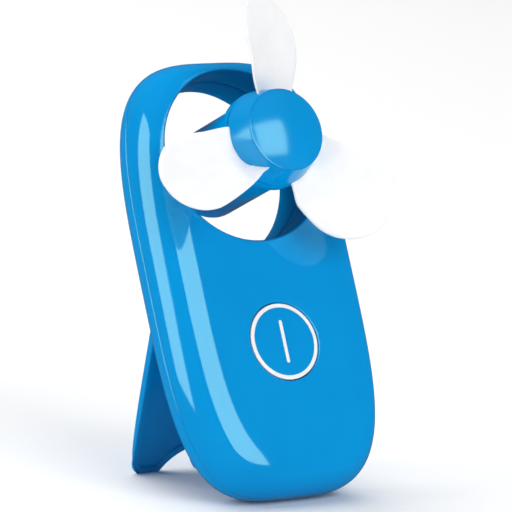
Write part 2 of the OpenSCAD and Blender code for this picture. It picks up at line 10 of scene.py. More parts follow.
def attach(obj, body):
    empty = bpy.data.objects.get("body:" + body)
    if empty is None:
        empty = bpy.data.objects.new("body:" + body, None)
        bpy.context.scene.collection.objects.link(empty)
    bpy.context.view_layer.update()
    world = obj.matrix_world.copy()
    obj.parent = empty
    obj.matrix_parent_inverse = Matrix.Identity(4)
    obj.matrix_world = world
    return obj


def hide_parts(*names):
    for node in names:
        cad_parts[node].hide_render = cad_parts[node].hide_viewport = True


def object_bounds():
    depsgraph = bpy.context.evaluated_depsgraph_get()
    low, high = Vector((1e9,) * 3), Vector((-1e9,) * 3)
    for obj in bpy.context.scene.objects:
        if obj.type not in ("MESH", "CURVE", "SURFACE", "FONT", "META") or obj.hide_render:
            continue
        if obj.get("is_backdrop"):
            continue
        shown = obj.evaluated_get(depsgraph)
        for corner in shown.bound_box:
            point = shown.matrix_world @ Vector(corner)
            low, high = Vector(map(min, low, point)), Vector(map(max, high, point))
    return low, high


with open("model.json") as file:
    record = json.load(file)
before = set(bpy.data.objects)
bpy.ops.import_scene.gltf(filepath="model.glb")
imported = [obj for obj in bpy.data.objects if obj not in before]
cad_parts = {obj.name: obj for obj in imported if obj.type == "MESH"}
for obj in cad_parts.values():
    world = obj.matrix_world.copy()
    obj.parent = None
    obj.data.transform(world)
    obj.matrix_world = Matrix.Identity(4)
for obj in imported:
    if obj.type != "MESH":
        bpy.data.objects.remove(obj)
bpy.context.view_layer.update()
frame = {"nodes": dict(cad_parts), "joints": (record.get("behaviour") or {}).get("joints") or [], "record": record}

# --- Body coordinates -------------------------------------------------------
# Pieces are built in millimetres, upright: X right, Y back, Z up along the body,
# with the mid-plane at Y = 0 and the lowest point of the outline at Z = 0.

JOINTS = {j["name"]: j for j in frame["joints"]}
BACK = Vector(JOINTS["button_press"]["axis"]).normalized()
RIGHT = Vector((1, 0, 0))
ALONG = RIGHT.cross(BACK)
TURN = Matrix((RIGHT, BACK, ALONG)).transposed()


def along_axes(node):
    """Lowest and highest corner of a CAD node along the body's axes, in metres from the row's origin."""
    points = [TURN.transposed() @ v.co for v in frame["nodes"][node].data.vertices]
    low = Vector([min(p[i] for p in points) for i in range(3)])
    high = Vector([max(p[i] for p in points) for i in range(3)])
    return low, high


front_low, front_high = along_axes("front_shell")
_, rear_high = along_axes("rear_shell")
MM = 0.001
ORIGIN = TURN @ Vector(((front_low.x + front_high.x) / 2, (front_low.y + rear_high.y) / 2, front_low.z))
PLACE = Matrix.Translation(ORIGIN) @ TURN.to_4x4() @ Matrix.Scale(MM, 4)
UNPLACE = PLACE.inverted()

HEIGHT = (front_high.z - front_low.z) / MM
WIDTH = (front_high.x - front_low.x) / MM
DEPTH = (rear_high.y - front_low.y) / MM
HALF = DEPTH / 2


def local_points(node):
    return [UNPLACE @ v.co for v in frame["nodes"][node].data.vertices]


def local_box(node):
    points = local_points(node)
    low = Vector([min(p[i] for p in points) for i in range(3)])
    high = Vector([max(p[i] for p in points) for i in range(3)])
    return low, high


def radius_at(node, y, centre_z, reach=0.06):
    """Largest radius of a CAD node round the axis along Y through centre_z, near that y."""
    near = [p for p in local_points(node) if abs(p.y - y) < reach]
    return max(math.hypot(p.x, p.z - centre_z) for p in near)


AXIS_Z = (UNPLACE @ Vector(JOINTS["fan_spin"]["pos_m"])).z
WINDOW_R = min(math.hypot(p.x, p.z - AXIS_Z) for p in local_points("front_shell"))
ring_low, ring_high = local_box("button_ring")
BUTTON_Z = (ring_low.z + ring_high.z) / 2
BUTTON_R = (ring_high.x - ring_low.x) / 2

# --- Mesh helpers -----------------------------------------------------------


def finish_mesh(name, mesh, sharp_angle=38.0):
    """Faces outwards, smooth shading with sharp edges above an angle, placed in the row frame."""
    bm = bmesh.new()
    bm.from_mesh(mesh)
    bmesh.ops.remove_doubles(bm, verts=bm.verts, dist=1e-5)
    bmesh.ops.recalc_face_normals(bm, faces=bm.faces)
    limit = math.radians(sharp_angle)
    for face in bm.faces:
        face.smooth = True
    for edge in bm.edges:
        if len(edge.link_faces) == 2 and edge.calc_face_angle(0) > limit:
            edge.smooth = False
    bm.to_mesh(mesh)
    bm.free()
    mesh.transform(PLACE)
    mesh.update()
    piece = bpy.data.objects.new(name, mesh)
    bpy.context.scene.collection.objects.link(piece)
    return piece


def make_mesh(name, parts):
    """One mesh from several (points, faces) pairs."""
    points, faces = [], []
    for part_points, part_faces in parts:
        base = len(points)
        points += [tuple(p) for p in part_points]
        faces += [tuple(base + i for i in f) for f in part_faces]
    mesh = bpy.data.meshes.new(name)
    mesh.from_pydata(points, [], faces)
    return mesh


def eased(t):
    """0 to 1 with a soft start and end."""
    return t * t * (3 - 2 * t)


def rounded(path, steps=6):
    """A polyline of (a, b, fillet) with each corner rounded by its fillet length."""
    out = []
    for i, (a, b, fillet) in enumerate(path):
        here = Vector((a, b))
        if fillet <= 0 or i in (0, len(path) - 1):
            out.append((a, b))
            continue
        before = Vector(path[i - 1][:2]) - here
        after = Vector(path[i + 1][:2]) - here
        reach = min(fillet, before.length * 0.49, after.length * 0.49)
        start = here + before.normalized() * reach
        end = here + after.normalized() * reach
        for k in range(steps + 1):
            t = k / steps
            out.append(tuple((1 - t) ** 2 * start + 2 * t * (1 - t) * here + t * t * end))
    return out


def lathe(profile, centre_z, steps=128):
    """A solid of revolution round the axis along Y: the profile is a closed list of (radius, y)."""
    points, faces, rings = [], [], []
    for r, y in profile:
        if r < 1e-6:
            points.append((0.0, y, centre_z))
            rings.append([len(points) - 1])
        else:
            ring = []
            for k in range(steps):
                a = math.tau * k / steps
                points.append((r * math.cos(a), y, centre_z + r * math.sin(a)))
                ring.append(len(points) - 1)
            rings.append(ring)
    for one, two in zip(rings, rings[1:] + rings[:1]):
        if len(one) == 1 and len(two) == 1:
            continue
        for k in range(steps):
            n = (k + 1) % steps
            if len(one) == 1:
                faces.append((one[0], two[n], two[k]))
            elif len(two) == 1:
                faces.append((one[k], one[n], two[0]))
            else:
                faces.append((one[k], one[n], two[n], two[k]))
    return points, faces


def rounded_box(low, high, radius, segments=3):
    """A box with rounded edges."""
    bm = bmesh.new()
    bmesh.ops.create_cube(bm, size=1.0)
    low, high = Vector(low), Vector(high)
    size, middle = high - low, (high + low) / 2
    for v in bm.verts:
        v.co = Vector((v.co.x * size.x, v.co.y * size.y, v.co.z * size.z)) + middle
    bmesh.ops.bevel(bm, geom=bm.edges[:], offset=radius, segments=segments, profile=0.5, affect="EDGES")
    points = [v.co.copy() for v in bm.verts]
    bm.verts.index_update()
    faces = [tuple(v.index for v in f.verts) for f in bm.faces]
    bm.free()
    return points, faces


# --- Materials --------------------------------------------------------------


def principled(name):
    material = bpy.data.materials.new(name)
    material.use_nodes = True
    nodes = material.node_tree.nodes
    return material, nodes, material.node_tree.links, nodes["Principled BSDF"]


def noise_of(nodes, links, scale, detail, roughness=0.5):
    """Output of a noise texture in the piece's own coordinates."""
    coord = nodes.new("ShaderNodeTexCoord")
    noise = nodes.new("ShaderNodeTexNoise")
    noise.inputs["Scale"].default_value = scale
    noise.inputs["Detail"].default_value = detail
    noise.inputs["Roughness"].default_value = roughness
    links.new(coord.outputs["Object"], noise.inputs["Vector"])
    return noise.outputs["Fac"]


def mapped(nodes, links, source, low, high, at_low, at_high):
    """Linear map of a value from low..high to at_low..at_high, held outside that."""
    node = nodes.new("ShaderNodeMapRange")
    for name, value in (("From Min", low), ("From Max", high), ("To Min", at_low), ("To Max", at_high)):
        node.inputs[name].default_value = value
    links.new(source, node.inputs["Value"])
    return node.outputs["Result"]


def varied(nodes, links, scale, detail, low, high, target, roughness=0.5):
    """Noise mapped to a range and sent to one of the shader's sockets."""
    noise = noise_of(nodes, links, scale, detail, roughness)
    links.new(mapped(nodes, links, noise, 0.3, 0.7, low, high), target)


def tinted(nodes, links, scale, dark, light, target):
    """Noise through a two-colour ramp, for a slightly uneven colour."""
    ramp = nodes.new("ShaderNodeValToRGB")
    for stop, position, colour in zip(ramp.color_ramp.elements, (0.35, 0.65), (dark, light)):
        stop.position = position
        stop.color = (*colour, 1)
    links.new(noise_of(nodes, links, scale, 3), ramp.inputs["Fac"])
    links.new(ramp.outputs["Color"], target)


def bumped(nodes, links, shader, layers):
    """A chain of bump nodes, one for each (scale, detail, strength, distance)."""
    last = None
    for scale, detail, strength, distance in layers:
        bump = nodes.new("ShaderNodeBump")
        bump.inputs["Strength"].default_value = strength
        bump.inputs["Distance"].default_value = distance
        links.new(noise_of(nodes, links, scale, detail), bump.inputs["Height"])
        if last:
            links.new(last.outputs["Normal"], bump.inputs["Normal"])
        last = bump
    links.new(last.outputs["Normal"], shader.inputs["Normal"])


# Painted shade: colour that the tunnel's wall is multiplied by, darkening the recess as if it were in shadow
TUNNEL_SHADE = (0.5, 0.52, 0.52, 1)
# Tint of the gloss seen straight on; it is above 1 because the skin's own reflection is weak
GLOSS_TINT = (4.8, 9.0, 6.8, 1)
GLOSS_IOR = 1.2


def tunnel_shade_mask(nodes, links):
    """Mask of the painted shade: 1 on the wall of the window's tunnel, 0 on the skin and the pod, by distance from
    the axis.
    """
    coord = nodes.new("ShaderNodeTexCoord")
    across = nodes.new("ShaderNodeCombineXYZ")
    for row, centre, axis in ((0, 0.0, "X"), (2, AXIS_Z, "Z")):
        dot = nodes.new("ShaderNodeVectorMath")
        dot.operation = "DOT_PRODUCT"
        dot.inputs[1].default_value = UNPLACE[row][:3]
        shift = nodes.new("ShaderNodeMath")
        shift.inputs[1].default_value = UNPLACE[row][3] - centre
        links.new(coord.outputs["Object"], dot.inputs[0])
        links.new(dot.outputs["Value"], shift.inputs[0])
        links.new(shift.outputs["Value"], across.inputs[axis])
    length = nodes.new("ShaderNodeVectorMath")
    length.operation = "LENGTH"
    links.new(across.outputs["Vector"], length.inputs[0])
    radius = length.outputs["Value"]
    outside = mapped(nodes, links, radius, WINDOW_R + 0.15, WINDOW_R + 0.7, 1, 0)
    # The painted shade grows gradually over the pod's arms towards the wall
    inside = mapped(nodes, links, radius, WINDOW_R - 7, WINDOW_R - 1, 0, 1)
    both = nodes.new("ShaderNodeMath")
    both.operation = "MULTIPLY"
    links.new(outside, both.inputs[0])
    links.new(inside, both.inputs[1])
    return both.outputs["Value"]


def glossy_plastic(name, dark, light, rough_low=0.06, rough_high=0.10, tunnel=False):
    """Polished moulded plastic: faint flow marks, fine scuffs and a slow ripple; with tunnel, painted shade on the
    tunnel's wall.
    """
    material, nodes, links, shader = principled(name)
    tinted(nodes, links, 60, dark, light, shader.inputs["Base Color"])
    if tunnel:
        # Painted shade: the tunnel's wall is darkened in colour as if in shadow, and its gloss is turned down
        mask = tunnel_shade_mask(nodes, links)
        tunnel_shaded = nodes.new("ShaderNodeMixRGB")
        tunnel_shaded.blend_type = "MULTIPLY"
        tunnel_shaded.inputs["Color2"].default_value = TUNNEL_SHADE
        links.new(mask, tunnel_shaded.inputs["Fac"])
        links.new(shader.inputs["Base Color"].links[0].from_socket, tunnel_shaded.inputs["Color1"])
        links.new(tunnel_shaded.outputs["Color"], shader.inputs["Base Color"])
        links.new(mapped(nodes, links, mask, 0, 1, 0.5, 0.03), shader.inputs["Specular IOR Level"])
    varied(nodes, links, 900, 6, rough_low, rough_high, shader.inputs["Roughness"], 0.7)
    shader.inputs["IOR"].default_value = GLOSS_IOR
    shader.inputs["Specular Tint"].default_value = GLOSS_TINT
    bumped(nodes, links, shader, [(90, 1, 0.05, 0.0004), (5200, 2, 0.03, 0.00003)])
    return material


def satin_plastic(name, dark, light, rough=0.42):
    """Matt moulded plastic with a fine spark-eroded grain."""
    material, nodes, links, shader = principled(name)
    tinted(nodes, links, 180, dark, light, shader.inputs["Base Color"])
    varied(nodes, links, 1400, 4, rough - 0.06, rough + 0.06, shader.inputs["Roughness"])
    bumped(nodes, links, shader, [(3500, 3, 0.12, 0.00005)])
    return material


def foam(name):
    """Closed-cell soft foam sheet: white, satin, a little light comes through."""
    material, nodes, links, shader = principled(name)
    tinted(nodes, links, 120, (0.90, 0.91, 0.93), (0.955, 0.96, 0.97), shader.inputs["Base Color"])
    varied(nodes, links, 2200, 4, 0.34, 0.5, shader.inputs["Roughness"])
    shader.inputs["Subsurface Weight"].default_value = 0.25
    shader.inputs["Subsurface Radius"].default_value = (0.002, 0.002, 0.002)
    shader.inputs["Subsurface Scale"].default_value = 0.5
    shader.inputs["Sheen Weight"].default_value = 0.05
    bumped(nodes, links, shader, [(2600, 4, 0.10, 0.00005), (220, 2, 0.06, 0.0003)])
    return material


def metal(name, dark, light, rough=0.3, metallic=1.0):
    """Plated or drawn metal with fine grain and uneven gloss."""
    material, nodes, links, shader = principled(name)
    tinted(nodes, links, 300, dark, light, shader.inputs["Base Color"])
    varied(nodes, links, 1500, 5, rough - 0.08, rough + 0.08, shader.inputs["Roughness"])
    shader.inputs["Metallic"].default_value = metallic
    bumped(nodes, links, shader, [(3000, 3, 0.08, 0.00004)])
    return material


MATERIALS = {
    # The shell's material carries the painted shade on the tunnel's wall
    "shell_blue": glossy_plastic("blue_shell_plastic", (0.0, 0.290, 0.695), (0.0, 0.305, 0.720), tunnel=True),
    "stand_blue": glossy_plastic("blue_stand_plastic", (0.0, 0.276, 0.670), (0.0, 0.292, 0.700), 0.12, 0.18),
    "fan_blue": glossy_plastic("blue_hub_plastic", (0.0, 0.280, 0.680), (0.0, 0.296, 0.705), 0.15, 0.20),
    "blade_white": foam("white_foam"),
    "mark_white": satin_plastic("white_inlay", (0.86, 0.87, 0.88), (0.92, 0.93, 0.93), 0.35),
    "dark_plastic": satin_plastic("black_plastic", (0.018, 0.018, 0.02), (0.03, 0.03, 0.032)),
    "board_green": satin_plastic("green_laminate", (0.012, 0.11, 0.04), (0.02, 0.15, 0.06), 0.3),
    "bare_steel": metal("plated_steel", (0.50, 0.51, 0.53), (0.60, 0.61, 0.62)),
    "bronze": metal("sintered_bronze", (0.50, 0.33, 0.15), (0.60, 0.41, 0.20), 0.45),
    "winding_copper": metal("copper", (0.62, 0.25, 0.11), (0.76, 0.34, 0.16), 0.35),
    "cell_sleeve": satin_plastic("cell_sleeve", (0.03, 0.035, 0.045), (0.05, 0.055, 0.07), 0.25),
    "magnet": metal("ferrite", (0.035, 0.035, 0.04), (0.06, 0.06, 0.065), 0.55, 0.3),
    "red_insulation": satin_plastic("red_insulation", (0.42, 0.012, 0.01), (0.52, 0.02, 0.015), 0.35),
    "black_insulation": satin_plastic("black_insulation", (0.012, 0.012, 0.012), (0.022, 0.022, 0.022), 0.4),
    "white_insulation": satin_plastic("white_insulation", (0.70, 0.70, 0.68), (0.78, 0.78, 0.76), 0.4),
}

SLOT_OF = {s["node"]: s["material_slot"] for s in frame["record"]["subparts"]}
BODY_OF = {n: b for b, ns in frame["record"]["behaviour"]["bodies"].items() for n in ns}


def stand_for(piece, node):
    """The piece replaces a CAD node: same body, and the material of the node's slot."""
    slot = SLOT_OF[node]
    piece.data.materials.clear()
    piece.data.materials.append(MATERIALS[slot])
    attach(piece, BODY_OF[node])
    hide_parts(node)


# --- Body surface -----------------------------------------------------------

# The outline is a superellipse, and the side follows another one with EDGE_IN as its half width,
# as far as the crown's first inset
SQUARENESS = 3.62
EDGE_IN = 6.5
EDGE_POWER = 1.84
OUTLINE_STEPS = 240
EDGE_RINGS = 8
# Spacing of the points in the bend of the surface, up to BEND_END, and on the crown behind it
BEND_STEP = 0.25
BEND_END = 4.6
CROWN_RING_STEP = 0.6
# Wall of the detailed shells
SKIN = 1.1
# Loose points closer than this to a loop would make slivers
CLEAR = 0.3
WINDOW_CLEAR = 0.35
POCKET_CLEAR = 0.5


def signed_pow(v, p):
    return math.copysign(abs(v) ** p, v)


def outline_point(inset, angle):
    x = (WIDTH / 2 - inset) * signed_pow(math.cos(angle), 2 / SQUARENESS)
    z = HEIGHT / 2 + (HEIGHT / 2 - inset) * signed_pow(math.sin(angle), 2 / SQUARENESS)
    return x, z


def outline_angles(steps):
    """Angles that space the outline's points evenly along it."""
    fine = 4000
    lengths = [0.0]
    last = outline_point(0, 0)
    for k in range(1, fine + 1):
        here = outline_point(0, math.tau * k / fine)
        lengths.append(lengths[-1] + math.dist(last, here))
        last = here
    angles, k = [], 0
    for i in range(steps):
        want = lengths[-1] * i / steps
        while lengths[k + 1] < want:
            k += 1
        share = (want - lengths[k]) / (lengths[k + 1] - lengths[k])
        angles.append(math.tau * (k + share) / fine)
    return angles


ANGLES = outline_angles(OUTLINE_STEPS)


def edge_inset(v):
    return EDGE_IN * (1 - (1 - v ** EDGE_POWER) ** (1 / EDGE_POWER))


# Slope of the surface, in degrees, at a few insets: round side, short bend, then a low crown
CROWN = [(1.5, 61.5), (2.3, 53), (3.1, 43), (3.6, 31), (4.0, 21), (5.2, 16), (6.6, 11), (8.2, 5), (9.6, 0)]
CROWN_STEP = 0.02


def side_level(inset):
    """Share of the half depth reached at an inset on the round side."""
    return (1 - (1 - max(0.0, inset) / EDGE_IN) ** EDGE_POWER) ** (1 / EDGE_POWER)


def crown_profile():
    start, end = CROWN[0][0], CROWN[-1][0]
    heights = [0.0]
    steps = round((end - start) / CROWN_STEP)
    for k in range(steps):
        inset = start + (k + 0.5) * CROWN_STEP
        for (a, slope_a), (b, slope_b) in zip(CROWN, CROWN[1:]):
            if inset <= b:
                slope = slope_a + (slope_b - slope_a) * (inset - a) / (b - a)
                break
        heights.append(heights[-1] + math.tan(math.radians(slope)) * CROWN_STEP)
    rise = 1 - side_level(start)
    return [side_level(start) + rise * h / heights[-1] for h in heights]


CROWN_LEVELS = crown_profile()


def edge_level(inset):
    """Share of the half depth that the surface has reached at an inset."""
    place = (inset - CROWN[0][0]) / CROWN_STEP
    if place <= 0:
        return side_level(inset)
    if place >= len(CROWN_LEVELS) - 1:
        return 1.0
    k = int(place)
    return CROWN_LEVELS[k] + (CROWN_LEVELS[k + 1] - CROWN_LEVELS[k]) * (place - k)


def inset_of(x, z):
    """How far inside the outline a point is: the inset whose outline passes through it."""
    low, high = -1.0, CROWN[-1][0] + 0.01
    for _ in range(26):
        mid = (low + high) / 2
        a, b = WIDTH / 2 - mid, HEIGHT / 2 - mid
        if abs(x / a) ** SQUARENESS + abs((z - HEIGHT / 2) / b) ** SQUARENESS < 1:
            low = mid
        else:
            high = mid
    return low


def skin_height(x, z):
    """Distance of the body's outer surface from the mid-plane."""
    return HALF * edge_level(inset_of(x, z))


def ring_of(inset):
    return [outline_point(inset, a) for a in ANGLES]


def circle_loop(cx, cz, r, steps):
    return [(cx + r * math.cos(math.tau * k / steps), cz + r * math.sin(math.tau * k / steps))
            for k in range(steps)]


def fillet_loops(r, fillet, steps=6):
    """(radius, drop) of the loops round a hole whose rim is rounded outwards."""
    out = []
    for k in range(steps + 1):
        a = math.pi / 2 * k / steps
        out.append((r + fillet * (1 - math.sin(a)), fillet * (1 - math.cos(a))))
    return out


def triangulate(outer, holes, loops, extra):
    """Triangles of a flat region: convex outer loop, convex holes, free loops and points."""
    points, edges, owner = [], [], []
    for tag, loop in [(0, outer)] + [(k + 1, h) for k, h in enumerate(holes)] + [(-1, l) for l in loops]:
        base = len(points)
        points += [Vector(p) for p in loop]
        owner += [tag] * len(loop)
        edges += [(base + i, base + (i + 1) % len(loop)) for i in range(len(loop))]
    points += [Vector(p) for p in extra]
    owner += [-1] * len(extra)
    coords, _, faces, source, _, _ = delaunay_2d_cdt(points, edges, [], 0, 1e-5)
    tags = [set(owner[i] for i in s) for s in source]
    kept = []
    for f in faces:
        shared = set.intersection(*[tags[i] for i in f])
        if not any(t > 0 for t in shared):
            kept.append(tuple(f))
    return [tuple(c) for c in coords], kept


def half_shell(side, holes, loops, height, keep_point, rim_inset, grid=1.15):
    """Outer surface of one half: a band of rings up to rim_inset, then a triangulated face."""
    parts = []
    start = CROWN[0][0]
    insets = [edge_inset(side_level(start) * math.sin(math.pi / 2 * k / EDGE_RINGS))
              for k in range(EDGE_RINGS + 1)]
    insets += [start + BEND_STEP * k for k in range(1, 5) if start + BEND_STEP * k <= rim_inset + 0.01]
    rings = [[(x, side * edge_level(inset) * HALF, z) for x, z in ring_of(inset)] for inset in insets]
    n = OUTLINE_STEPS
    points = [p for ring in rings for p in ring]
    faces = [(k * n + i, k * n + (i + 1) % n, (k + 1) * n + (i + 1) % n, (k + 1) * n + i)
             for k in range(len(rings) - 1) for i in range(n)]
    parts.append((points, faces))
    extra = []
    inset = rim_inset + BEND_STEP
    while inset < CROWN[-1][0]:
        extra += [p for p in ring_of(inset) if keep_point(*p)]
        inset += BEND_STEP if inset < BEND_END else CROWN_RING_STEP
    rows = int(HEIGHT / grid)
    cols = int(WIDTH / grid)
    for j in range(rows):
        for i in range(cols):
            x = -WIDTH / 2 + grid * (i + 0.5 * (j % 2))
            z = grid * j
            if inset_of(x, z) >= CROWN[-1][0] and keep_point(x, z):
                extra.append((x, z))
    flat, triangles = triangulate(ring_of(insets[-1]), holes, loops, extra)
    parts.append(([(x, side * height(x, z), z) for x, z in flat], triangles))
    return parts


def wall_down(loop, side, start, end, steps=5):
    """Wall of a hole, from the height start(x, z) to the level end."""
    n = len(loop)
    points = []
    for k in range(steps + 1):
        t = k / steps
        points += [(x, side * (start(x, z) * (1 - t) + end * t), z) for x, z in loop]
    faces = [(k * n + i, k * n + (i + 1) % n, (k + 1) * n + (i + 1) % n, (k + 1) * n + i)
             for k in range(steps) for i in range(n)]
    return points, faces


def thicken(piece, thickness):
    """Gives an open skin its wall, inwards."""
    modifier = piece.modifiers.new("wall", "SOLIDIFY")
    modifier.thickness = thickness * MM
    modifier.offset = -1
    modifier.use_even_offset = False
    modifier.use_rim = True
    graph = bpy.context.evaluated_depsgraph_get()
    solid = bpy.data.meshes.new_from_object(piece.evaluated_get(graph))
    piece.modifiers.clear()
    piece.data = solid
    return piece


WINDOW_FILLET = 0.75
WINDOW_STEPS = 160
BUTTON_HOLE_R = BUTTON_R + 0.3
BUTTON_FILLET = 0.25
BUTTON_WALL = 1.6
# Level at which the tunnel's two halves meet, just off the mid-plane
SEAM = 0.02
window_rings = fillet_loops(WINDOW_R, WINDOW_FILLET)
button_rings = fillet_loops(BUTTON_HOLE_R, BUTTON_FILLET, 3)


def rim_drop(distance, fillet):
    """How far a rounded rim has dropped at a distance outside the hole's wall."""
    if distance >= fillet:
        return 0.0
    return fillet - math.sqrt(max(0.0, fillet ** 2 - (fillet - max(0.0, distance)) ** 2))


def window_drop(x, z):
    return rim_drop(math.hypot(x, z - AXIS_Z) - WINDOW_R, WINDOW_FILLET)


def front_height(x, z):
    button = rim_drop(math.hypot(x, z - BUTTON_Z) - BUTTON_HOLE_R, BUTTON_FILLET)
    return skin_height(x, z) - window_drop(x, z) - button


def clear_of_front_holes(x, z):
    to_window = math.hypot(x, z - AXIS_Z) - WINDOW_R - WINDOW_FILLET
    to_button = math.hypot(x, z - BUTTON_Z) - BUTTON_HOLE_R - BUTTON_FILLET
    return to_window > WINDOW_CLEAR and to_button > CLEAR


def loops_round(cz, rings, steps):
    return [circle_loop(0, cz, r, steps) for r, _ in rings]


def make_front_shell():
    window = loops_round(AXIS_Z, window_rings, WINDOW_STEPS)
    button = loops_round(BUTTON_Z, button_rings, 120)
    parts = half_shell(-1, [window[-1], button[-1]], window[:-1] + button[:-1], front_height,
                       clear_of_front_holes, 2.5)
    parts.append(wall_down(window[-1], -1, front_height, SEAM))
    parts.append(wall_down(button[-1], -1, front_height, HALF - BUTTON_WALL, 2))
    piece = finish_mesh("front_shell_moulding", make_mesh("front_shell_moulding", parts))
    stand_for(thicken(piece, SKIN), "front_shell")


# Pocket of the stand and opening of the cell bay, worked out from the CAD nodes
door_low, door_high = local_box("battery_door")
POCKET_GAP = 0.3
POCKET_PLAY = 0.35
# The pocket's rim is rounded by POCKET_RIM, and its side drops to the floor within POCKET_DRAFT
POCKET_RIM = 0.25
POCKET_DRAFT = 0.12
STAND_T = 2.3
POCKET_FLOOR = HALF - STAND_T - POCKET_PLAY
stand_low, stand_high = local_box("kickstand")
POCKET_HALF = (stand_high.x - stand_low.x) / 2 + POCKET_PLAY
POCKET_TOP = door_high.z + POCKET_GAP
POCKET_BOTTOM = door_low.z - 1.8
POCKET_CORNER = 3.8
DOOR_HALF = (door_high.x - door_low.x) / 2


def box_distance(x, z, half, low, high, corner):
    """Signed distance outside a rounded rectangle in the XZ plane."""
    dx = abs(x) - (half - corner)
    dz = abs(z - (low + high) / 2) - ((high - low) / 2 - corner)
    outside = math.hypot(max(dx, 0), max(dz, 0))
    return outside + min(max(dx, dz), 0) - corner


def pocket_distance(x, z):
    low_part = box_distance(x, z, POCKET_HALF, POCKET_BOTTOM, POCKET_TOP, POCKET_CORNER)
    high_part = box_distance(x, z, POCKET_HALF, POCKET_BOTTOM + 20, POCKET_TOP, 0.8)
    return min(low_part, high_part)


def pocket_loop(offset, step=0.7):
    """Outline of the pocket, moved out by offset: square top corners, round lower corners."""
    half, low, high = POCKET_HALF + offset, POCKET_BOTTOM - offset, POCKET_TOP + offset
    corner = POCKET_CORNER + offset
    points = []
    rise = int((high - low - corner) / step)
    run = int(2 * half / step)
    turn = 8
    points += [(half, low + corner + (high - low - corner) * k / rise) for k in range(rise)]
    points += [(half - 2 * half * k / run, high) for k in range(run)]
    points += [(-half, high - (high - low - corner) * k / rise) for k in range(rise)]
    points += [(-half + corner - corner * math.cos(math.pi / 2 * k / turn),
                low + corner - corner * math.sin(math.pi / 2 * k / turn)) for k in range(turn)]
    span = 2 * (half - corner)
    points += [(-half + corner + span * k / run, low) for k in range(run)]
    points += [(half - corner + corner * math.sin(math.pi / 2 * k / turn),
                low + corner - corner * math.cos(math.pi / 2 * k / turn)) for k in range(turn)]
    return points


def rear_height(x, z):
    surface = skin_height(x, z) - window_drop(x, z)
    distance = pocket_distance(x, z)
    surface -= rim_drop(distance, POCKET_RIM)
    if surface <= POCKET_FLOOR:
        return surface
    share = min(1.0, max(0.0, -distance / POCKET_DRAFT))
    return surface * (1 - share) + POCKET_FLOOR * share


# The two upper case screws go in from the back, with their heads on seats inside these holes
SCREW_SPOTS = [(-19.5, 60.9), (19.5, 60.9)]
SCREW_HOLE_R = 2.1
SCREW_SEAT = 3.9
DOOR_WALL = 1.5


def make_rear_shell():
    window = loops_round(AXIS_Z, window_rings, WINDOW_STEPS)
    pockets = [pocket_loop(o) for o in (POCKET_RIM, 0.12, 0.03, 0.0, -POCKET_DRAFT, -0.3)]
    half, low, high = DOOR_HALF + 0.3, door_low.z - 0.3, POCKET_TOP - 0.6
    door = [(half, low), (half, high), (-half, high), (-half, low)]
    screws = [circle_loop(x, z, SCREW_HOLE_R, 32) for x, z in SCREW_SPOTS]
    screw_rims = [circle_loop(x, z, SCREW_HOLE_R + 0.25, 32) for x, z in SCREW_SPOTS]

    def keep(x, z):
        to_window = math.hypot(x, z - AXIS_Z) - WINDOW_R - WINDOW_FILLET
        to_pocket = pocket_distance(x, z)
        to_door = box_distance(x, z, half, low, high, 0.01)
        to_screw = min(math.hypot(x - a, z - b) for a, b in SCREW_SPOTS) - SCREW_HOLE_R - 0.25
        return (to_window > WINDOW_CLEAR and abs(to_pocket) > POCKET_CLEAR
                and to_door > CLEAR and to_screw > CLEAR)

    parts = half_shell(1, [window[-1], door] + screws, window[:-1] + pockets + screw_rims,
                       rear_height, keep, 2.2)
    parts.append(wall_down(window[-1], 1, rear_height, SEAM))
    parts.append(wall_down(door, 1, rear_height, POCKET_FLOOR - DOOR_WALL, 1))
    for loop in screws:
        parts.append(wall_down(loop, 1, rear_height, SCREW_SEAT, 3))
    piece = finish_mesh("rear_shell_moulding", make_mesh("rear_shell_moulding", parts), 30)
    stand_for(thicken(piece, SKIN), "rear_shell")


# --- Pod, hub and cap -------------------------------------------------------


POD_WALL = 1.2
HUB_WALL = 1.4
HUB_BORE = 1.02
HUB_BOSS = 3.0
# Radius of the plug of the cap, and of the recess in the hub's front that takes it
PLUG_R = 3.95


def make_pod():
    low, high = local_box("motor_pod")
    r = radius_at("motor_pod", low.y, AXIS_Z)
    inner = r - POD_WALL
    profile = rounded([(inner, low.y, 0), (r, low.y, 0.3), (r, high.y, 1.4), (0, high.y, 0)])
    profile += [(0, high.y - POD_WALL), (inner, high.y - POD_WALL)]
    parts = [lathe(profile, AXIS_Z)]
    arm = [p for p in local_points("motor_pod") if abs(p.x) > r + 2]
    y0, y1 = min(p.y for p in arm), max(p.y for p in arm)
    half = max(abs(p.z - AXIS_Z) for p in arm)
    for side in (-1, 1):
        ends = sorted((side * (r - 1.0), side * (high.x - 0.02)))
        parts.append(rounded_box((ends[0], y0, AXIS_Z - half), (ends[1], y1, AXIS_Z + half), 0.6))
    piece = finish_mesh("motor_pod_moulding", make_mesh("motor_pod_moulding", parts))
    stand_for(piece, "motor_pod")


def make_pod_cap():
    low, high = local_box("pod_front_cap")
    r = (high.x - low.x) / 2
    pod_low, _ = local_box("motor_pod")
    hole, spigot = 1.6, r - 2.9
    profile = rounded([(hole, low.y, 0), (r, low.y, 0.5), (r, pod_low.y, 0.35),
                       (spigot, pod_low.y, 0), (spigot, high.y, 0.2), (hole, high.y, 0)])
    piece = finish_mesh("pod_cap_moulding", make_mesh("pod_cap_moulding", [lathe(profile, AXIS_Z)]))
    stand_for(piece, "pod_front_cap")


